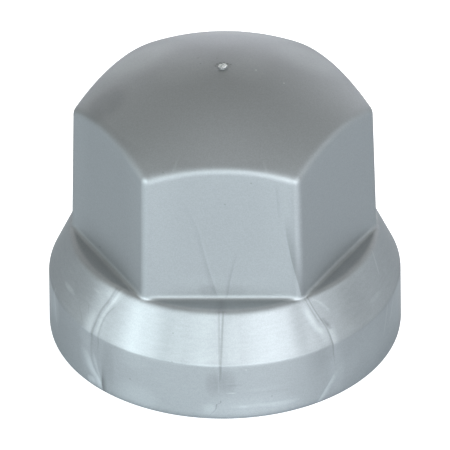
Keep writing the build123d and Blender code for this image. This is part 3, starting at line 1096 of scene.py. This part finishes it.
    def outer_points(self, facing: np.ndarray, turn: np.ndarray) -> np.ndarray:
        """Rounds the sharp profiles by moving their points onto the outer form.

        Args:
            facing: The direction that each column's flat faces, in radians.
            turn: Each column's angle from there.

        Returns:
            Points with rows along the profile and columns round the axis.
        """
        profile = self.outer_profile(turn)
        away = np.stack([np.cos(facing + turn), np.sin(facing + turn)], -1)
        for _ in range(self.rounding_rounds):
            points = np.concatenate([profile[..., :1] * away, profile[..., 1:]], -1)
            distance, normal = self.form.outside(points)
            outward = (normal[..., :2] * away).sum(-1)
            upward = normal[..., 2]
            pull = distance / np.maximum(outward**2 + upward**2, self.least_slope)
            profile = profile - pull[..., None] * np.stack([outward, upward], -1)
        rim = profile[-1]
        rim[:, 0] = self.sizes.bore_radius + self.sizes.rim_inner_radius
        rim[:, 1] = 0.0
        return np.concatenate([profile[..., :1] * away, profile[..., 1:]], -1)

    def scar(self, points: np.ndarray) -> np.ndarray:
        """Sinks the shallow dish round the gate into the crown.

        Args:
            points: Points of the outer form.

        Returns:
            The same points, lowered where the dish is.
        """
        sizes = self.sizes
        half, depth = sizes.gate_dimple_diameter / 2, sizes.gate_dimple_depth
        ball = (half**2 + depth**2) / (2 * depth)
        radius = np.hypot(points[..., 0], points[..., 1])
        rise = ball - np.sqrt(ball**2 - np.minimum(radius, half) ** 2)
        floor = np.minimum(points[..., 2], sizes.apex_height - depth + rise)
        points[..., 2] = np.where(radius < half, floor, points[..., 2])
        return points

    def inner_profile(self) -> list[tuple[float, float]]:
        """Draws the turned part of the hollow, from the rim up to the ledge's underside.

        Returns:
            Radii and heights in order.
        """
        sizes = self.sizes
        low, high = sizes.rim_inner_radius, sizes.flange_bore_depth
        top, reach = sizes.inner_ledge_height, sizes.inner_ledge_reach
        rows = [(sizes.bore_radius, low + (high - low) * t) for t in self.bore_shares]
        cone = Vector((reach - sizes.bore_radius, top - high))
        length = cone.length
        cone.normalize()
        bend = cone.angle(Vector((-1.0, 0.0)))
        setback = sizes.inner_ledge_radius * math.tan(bend / 2)
        for t in self.inner_cone_shares:
            spot = cone * ((length - setback) * t)
            rows.append((sizes.bore_radius + spot.x, high + spot.y))
        rounding = sizes.inner_ledge_radius
        for t in self.short_shares:
            angle = math.pi / 2 - bend * (1 - t)
            radius = reach - setback + rounding * math.cos(angle)
            rows.append((radius, top - rounding + rounding * math.sin(angle)))
        return rows

    def socket_ring(self, facing: np.ndarray, turn: np.ndarray, height: np.ndarray) -> np.ndarray:
        """Draws the inner hexagon with its grip ribs at given heights.

        Args:
            facing: The direction that each column's flat faces, in radians.
            turn: Each column's angle from there.
            height: Each column's height.

        Returns:
            One point for each column.
        """
        sizes = self.sizes
        apothem = sizes.apothem_at(height, sizes.hexagon_wall)
        start = sizes.inner_ledge_height + sizes.rib_start
        at_start = sizes.apothem_at(start, sizes.hexagon_wall)
        lead = at_start + (sizes.rib_tip_apothem - at_start) * (height - start) / sizes.rib_lead_in
        tip = np.clip(lead, sizes.rib_tip_apothem, apothem)
        corner = math.tan(math.radians(HALF_FLAT))
        marks = np.tan(np.radians([0.0, *self.rib_turns(), HALF_FLAT]))
        side, depth = np.empty_like(turn), np.empty_like(turn)
        middle = sizes.rib_spacing / 2
        for k, (a, t) in enumerate(zip(apothem, tip)):
            root, crest = self.rib_half_width(a), self.rib_half_width(t)
            places = [0.0, middle - root, middle - crest, middle + crest, middle + root, a * corner]
            slope = abs(math.tan(turn[k]))
            side[k] = math.copysign(np.interp(slope, marks, places), turn[k])
            depth[k] = np.interp(slope, marks, [0.0, 0.0, a - t, a - t, 0.0, 0.0])
        reach = self.form.wall_reach(turn, height, sizes.hexagon_wall, sizes.inner_corner_radius)
        near_corner = np.abs(turn) > math.radians(self.inner_corner_turn)
        ahead = np.where(near_corner, reach * np.cos(turn), apothem - depth)
        side = np.where(near_corner, reach * np.sin(turn), side)
        x = ahead * np.cos(facing) - side * np.sin(facing)
        y = ahead * np.sin(facing) + side * np.cos(facing)
        return np.stack([x, y, height], -1)

    def inner_points(self, facing: np.ndarray, turn: np.ndarray) -> np.ndarray:
        """Lays the hollow's rows from the rim up to the middle of the crown's underside.

        Args:
            facing: The direction that each column's flat faces, in radians.
            turn: Each column's angle from there.

        Returns:
            Points with rows along the profile and columns round the axis.
        """
        sizes = self.sizes
        away = np.stack([np.cos(facing + turn), np.sin(facing + turn)], -1)
        column = np.ones((len(turn), 1))
        rows = [np.concatenate([away * r, column * z], -1) for r, z in self.inner_profile()]
        ball = sizes.crown_radius - sizes.crown_wall
        top = np.full_like(turn, sizes.ledge_height + sizes.hexagon_height)
        for _ in range(self.edge_rounds):
            ring = self.socket_ring(facing, turn, top)
            top = sizes.crown_centre + np.sqrt(ball**2 - (ring[:, :2] ** 2).sum(-1))
        low = sizes.inner_ledge_height
        start = low + sizes.rib_start
        fixed = [low, start, *(start + sizes.rib_lead_in * t for t in self.short_shares)]
        bend = sizes.inner_crown_edge_radius * self.edge_share
        for height in fixed:
            rows.append(self.socket_ring(facing, turn, np.full_like(turn, height)))
        for t in self.inner_wall_shares:
            height = fixed[-1] + (top - bend - fixed[-1]) * t
            rows.append(self.socket_ring(facing, turn, height))
        edge = self.socket_ring(facing, turn, top)
        reach = norm(edge[:, :2])
        shares = [1.0 - bend / reach, *(np.full_like(turn, t) for t in self.ceiling_shares)]
        crown = []
        for share in shares:
            flat = edge[:, :2] * share[:, None]
            height = sizes.crown_centre + np.sqrt(ball**2 - (flat**2).sum(-1))
            crown.append(np.column_stack([flat, height]))
        rows.append((rows[-1] + crown[0]) / 4 + edge / 2)
        return np.array([*rows, *crown])

    def faces(self, rows: int, columns: int) -> list[tuple[int, ...]]:
        """Joins the grid's points, and closes it at the apex and at the hollow's ceiling.

        Args:
            rows: The grid's number of rows.
            columns: Its number of columns.

        Returns:
            The faces, as places in the list of points.
        """
        apex, ceiling = rows * columns, rows * columns + 1
        end = (rows - 1) * columns
        faces = []
        for column in range(columns):
            following = (column + 1) % columns
            faces.append((apex, column, following))
            for row in range(rows - 1):
                here, below = row * columns, (row + 1) * columns
                faces.append((here + column, below + column, below + following, here + following))
            faces.append((end + column, ceiling, end + following))
        return faces

    def build(self) -> bpy.types.Object:
        """Builds and dresses the skin.

        Returns:
            The mesh object, in metres.
        """
        facing, turn = self.columns()
        outer = self.outer_points(facing, turn)
        normals = self.form.outside(outer)[1]
        outer = self.scar(outer + normals * self.relief.height_at(outer)[..., None])
        grid = np.concatenate([outer, self.inner_points(facing, turn)])
        grid[..., :2] *= self.box_share
        sizes = self.sizes
        apex = (0.0, 0.0, sizes.apex_height - sizes.gate_dimple_depth)
        ceiling = (0.0, 0.0, sizes.apex_height - sizes.crown_wall)
        points = [*grid.reshape(-1, 3).tolist(), apex, ceiling]
        skin = new_piece("cap_skin", points, self.faces(*grid.shape[:2]), self.sharp_angle)
        self.dress(skin)
        return skin

    def dress(self, skin: bpy.types.Object) -> None:
        """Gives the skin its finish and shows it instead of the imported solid."""
        dress_piece(skin, self.finish.make())
        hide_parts("nut_cover_cap")


@dataclass(frozen=True)
class Dent:
    """A round dent in the gate's broken top, in millimetres."""

    x: float
    y: float
    radius: float
    depth: float

    def depth_at(self, x: float, y: float) -> float:
        """How deep the dent is at a place on the stub."""
        return self.depth * math.exp(-((x - self.x) ** 2 + (y - self.y) ** 2) / self.radius**2)


@dataclass
class GateStub:
    """The short post where the gate broke off, standing in the crown's dish, in millimetres and degrees.

    Its top slopes down to the front by tilt, with rubble and dents in it. Its foot goes down by embed
    into the crown and flares where it leaves it, and depth_share makes it narrower from front to back.
    """

    sizes: CapSizes
    finish: BrokenPlastic = BrokenPlastic()
    spokes: int = 40
    rings: int = 8
    ring_step: float = 0.12
    embed: float = 0.3
    flare: float = 1.06
    tilt: float = 6.0
    depth_share: float = 0.93
    rubble: float = 0.07
    dents: tuple[Dent, ...] = (Dent(-0.28, -0.24, 0.12, 0.12), Dent(-0.5, 0.38, 0.3, 0.24))
    sharp_angle: float = 40.0

    def top_at(self, x: float, y: float) -> float:
        """Finds the height of the broken surface.

        Args:
            x: Place on the stub, to the right of its axis.
            y: Place on the stub, behind its axis.

        Returns:
            The height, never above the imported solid's top.
        """
        slope = math.tan(math.radians(self.tilt)) * (y - self.sizes.gate_diameter / 2)
        waves = math.sin(9.1 * x + 2.0) * math.cos(7.3 * y - 0.6)
        rough = waves + 0.6 * math.sin(17.0 * x - 11.0 * y)
        dents = sum(dent.depth_at(x, y) for dent in self.dents)
        height = self.sizes.top_height + slope + self.rubble * (rough - 1.0) - dents
        return min(self.sizes.top_height, height)

    def outline(self, angle: float) -> tuple[float, float]:
        """Draws the stub's uneven outline.

        Args:
            angle: Angle round the stub, in radians.

        Returns:
            A point of the outline.
        """
        wobble = 0.97 + 0.06 * math.sin(3 * angle + 1.0) + 0.04 * math.sin(5 * angle + 2.2)
        reach = self.sizes.gate_diameter / 2 * wobble
        return reach * math.cos(angle), reach * math.sin(angle) * self.depth_share

    def build(self) -> bpy.types.Object:
        """Builds and dresses the stub.

        Returns:
            The mesh object, in metres.
        """
        foot = self.sizes.apex_height - self.sizes.gate_dimple_depth - self.embed
        points = [(0.0, 0.0, foot), (0.0, 0.0, self.top_at(0.0, 0.0))]
        levels = [(1.0, 0.0), (self.flare, self.embed), (1.0, self.embed + 0.04), (0.97, self.embed + 0.1)]
        levels += [(1.0 - self.ring_step * k, None) for k in range(self.rings)]
        for share, rise in levels:
            for k in range(self.spokes):
                x, y = (share * c for c in self.outline(2 * math.pi * k / self.spokes))
                points.append((x, y, self.top_at(x, y) if rise is None else foot + rise))
        faces = []
        last = 2 + (len(levels) - 1) * self.spokes
        for k in range(self.spokes):
            after = (k + 1) % self.spokes
            faces.append((0, 2 + after, 2 + k))
            for level in range(len(levels) - 1):
                low, high = 2 + level * self.spokes, 2 + (level + 1) * self.spokes
                faces.append((low + k, low + after, high + after, high + k))
            faces.append((last + k, last + after, 1))
        stub = new_piece("gate_stub", points, faces, self.sharp_angle)
        self.dress(stub)
        return stub

    def dress(self, stub: bpy.types.Object) -> None:
        """Gives the stub the look of torn plastic."""
        dress_piece(stub, self.finish.make())


def towards(azimuth: float, elevation: float) -> Vector:
    """Finds a direction from the cap.

    Args:
        azimuth: Degrees round from the front, positive to the right.
        elevation: Degrees above the table.

    Returns:
        The direction as a unit vector.
    """
    azimuth, elevation = math.radians(azimuth), math.radians(elevation)
    flat = math.cos(elevation)
    return Vector((math.sin(azimuth) * flat, -math.cos(azimuth) * flat, math.sin(elevation)))


@dataclass(frozen=True)
class PhotoCamera:
    """The photograph's viewpoint, as fitted to the cap's edges, in degrees and metres."""

    elevation: float = 33.75
    azimuth: float = 1.137
    roll: float = -0.667
    distance: float = 0.58307
    aim_height: float = 0.015975
    aim_right: float = 0.0001
    focal_pixels: float = 4077.3
    sensor: float = 36.0

    @property
    def level(self) -> Vector:
        """Level direction to the camera's right, before its roll."""
        return towards(self.azimuth + 90.0, 0.0)

    def place(self) -> bpy.types.Object:
        """Adds the camera to the scene and makes it the one in use.

        Returns:
            The camera object.
        """
        level, back = self.level, towards(self.azimuth, self.elevation)
        rise, roll = back.cross(level), math.radians(self.roll)
        right = level * math.cos(roll) + rise * math.sin(roll)
        up = rise * math.cos(roll) - level * math.sin(roll)
        target = Vector((0.0, 0.0, self.aim_height)) + level * self.aim_right
        data = bpy.data.cameras.new("photo_camera")
        data.sensor_width = self.sensor
        data.lens = self.focal_pixels / PHOTO_SIDE * self.sensor
        data.clip_start = self.distance / 10
        camera = bpy.data.objects.new("photo_camera", data)
        turn = Matrix((right, up, back)).transposed().to_4x4()
        camera.matrix_world = Matrix.Translation(target + back * self.distance) @ turn
        bpy.context.scene.collection.objects.link(camera)
        bpy.context.scene.camera = camera
        return camera


class LampTint(Enum):
    """Colours of the studio lamps, by the side of the cap that they light."""

    FRONT = (0.9, 1.0, 1.04)
    RIGHT = (0.977, 1.0, 1.052)
    SIDE = (0.942, 1.0, 1.074)
    BACK = (1.015, 1.0, 1.078)


@dataclass(frozen=True)
class Softbox:
    """A square studio lamp that faces the cap, in degrees, watts and metres."""

    name: str
    azimuth: float
    elevation: float
    power: float
    tint: LampTint
    side: float = 0.2
    distance: float = 0.7

    def hang(self) -> bpy.types.Object:
        """Adds the lamp to the scene.

        Returns:
            The lamp object.
        """
        away = towards(self.azimuth, self.elevation)
        data = bpy.data.lights.new(self.name, "AREA")
        data.shape = "SQUARE"
        data.size = self.side
        data.energy = self.power
        data.color = self.tint.value
        lamp = bpy.data.objects.new(self.name, data)
        turn = away.to_track_quat("Z", "Y").to_matrix().to_4x4()
        lamp.matrix_world = Matrix.Translation(away * self.distance) @ turn
        bpy.context.scene.collection.objects.link(lamp)
        return lamp


@dataclass(frozen=True)
class Studio:
    """White table, soft lamps and dim room round the cap, in metres.

    The table lies by table_drop below the rim, so that the two faces don't fight. Its table_white glow
    makes it a white background, and table_in_gloss is what it adds where the cap reflects it.
    """

    half_width: float = 1.5
    table_drop: float = 0.00001
    table_colour: float = 0.85
    table_white: float = 0.8
    table_in_gloss: tuple[float, float, float] = (0.084, 0.136, 0.195)
    room: tuple[float, float, float] = (0.437, 0.429, 0.399)
    lamps: tuple[Softbox, ...] = (
        Softbox("far_left_front_lamp", -60.0, 5.0, 1.08, LampTint.FRONT),
        Softbox("left_front_lamp", -45.0, 5.0, 2.88, LampTint.FRONT),
        Softbox("front_left_lamp", -15.0, 5.0, 0.83, LampTint.FRONT),
        Softbox("front_right_lamp", 15.0, 5.0, 1.07, LampTint.FRONT),
        Softbox("right_front_lamp", 30.0, 5.0, 3.75, LampTint.RIGHT),
        Softbox("high_left_lamp", -60.0, 35.0, 0.55, LampTint.SIDE),
        Softbox("high_right_lamp", 60.0, 35.0, 1.04, LampTint.SIDE),
        Softbox("right_lamp", 105.0, 15.0, 0.39, LampTint.SIDE),
        Softbox("right_back_lamp", 150.0, 8.0, 0.65, LampTint.BACK),
        Softbox("back_lamp", 180.0, 8.0, 0.95, LampTint.BACK),
        Softbox("left_back_lamp", 210.0, 8.0, 0.4, LampTint.BACK),
        Softbox("high_right_back_lamp", 150.0, 35.0, 0.2, LampTint.BACK),
        Softbox("high_left_back_lamp", 210.0, 35.0, 0.13, LampTint.BACK),
        Softbox("top_lamp", 0.0, 90.0, 0.32, LampTint.BACK),
    )

    def table(self) -> bpy.types.Object:
        """Adds the white table that the cap stands on, clear from below so that the hollow can be seen.

        Returns:
            The table object.
        """
        w, z = self.half_width, -self.table_drop
        mesh = bpy.data.meshes.new("table")
        mesh.from_pydata([(-w, -w, z), (w, -w, z), (w, w, z), (-w, w, z)], [], [(0, 1, 2, 3)])
        table = bpy.data.objects.new("table", mesh)
        bpy.context.scene.collection.objects.link(table)
        material = bpy.data.materials.new("white_table")
        material.use_nodes = True
        nodes = Nodes(material.node_tree)
        colour = (self.table_colour, self.table_colour, self.table_colour, 1.0)
        matt = nodes.add("ShaderNodeBsdfDiffuse", Color=colour)
        rays = nodes.add("ShaderNodeLightPath")
        plain = nodes.math("MAXIMUM", rays.outputs["Is Camera Ray"], rays.outputs["Is Transmission Ray"])
        white = nodes.add("ShaderNodeEmission", Strength=nodes.math("MULTIPLY", plain, self.table_white))
        in_gloss, glossy = (*self.table_in_gloss, 1.0), rays.outputs["Is Glossy Ray"]
        gloss = nodes.add("ShaderNodeEmission", Color=in_gloss, Strength=glossy)
        glow = nodes.add("ShaderNodeAddShader", i0=white.outputs[0], i1=gloss.outputs[0])
        both = nodes.add("ShaderNodeAddShader", i0=matt.outputs[0], i1=glow.outputs[0])
        behind = nodes.add("ShaderNodeNewGeometry").outputs["Backfacing"]
        clear = nodes.add("ShaderNodeBsdfTransparent")
        one_way = nodes.add("ShaderNodeMixShader", i0=behind, i1=both.outputs[0], i2=clear.outputs[0])
        nodes.add("ShaderNodeOutputMaterial", Surface=one_way.outputs[0])
        mesh.materials.append(material)
        return table

    def room_light(self) -> None:
        """Fills the room with even, dim light."""
        world = bpy.data.worlds.new("room")
        world.use_nodes = True
        nodes = Nodes(world.node_tree)
        light = nodes.add("ShaderNodeBackground", Color=(*self.room, 1.0), Strength=1.0)
        nodes.add("ShaderNodeOutputWorld", Surface=light.outputs[0])
        bpy.context.scene.world = world

    def build(self) -> None:
        """Adds table, lamps and room light, and leaves the colours as they are written."""
        self.table()
        for lamp in self.lamps:
            lamp.hang()
        self.room_light()
        bpy.context.scene.view_settings.view_transform = "Standard"


def main() -> None:
    """Builds the cap and the studio."""
    logging.basicConfig(level=logging.INFO, format="%(message)s")
    sizes = CapSizes()
    for part in (CapSkin(sizes, CapForm(sizes), Relief(sizes)), GateStub(sizes)):
        piece = part.build()
        LOG.info("%s: %d faces, %s", piece.name, len(piece.data.polygons), piece.data.materials[0].name)
    Studio().build()
    PhotoCamera().place()


if __name__ == "__main__":
    main()
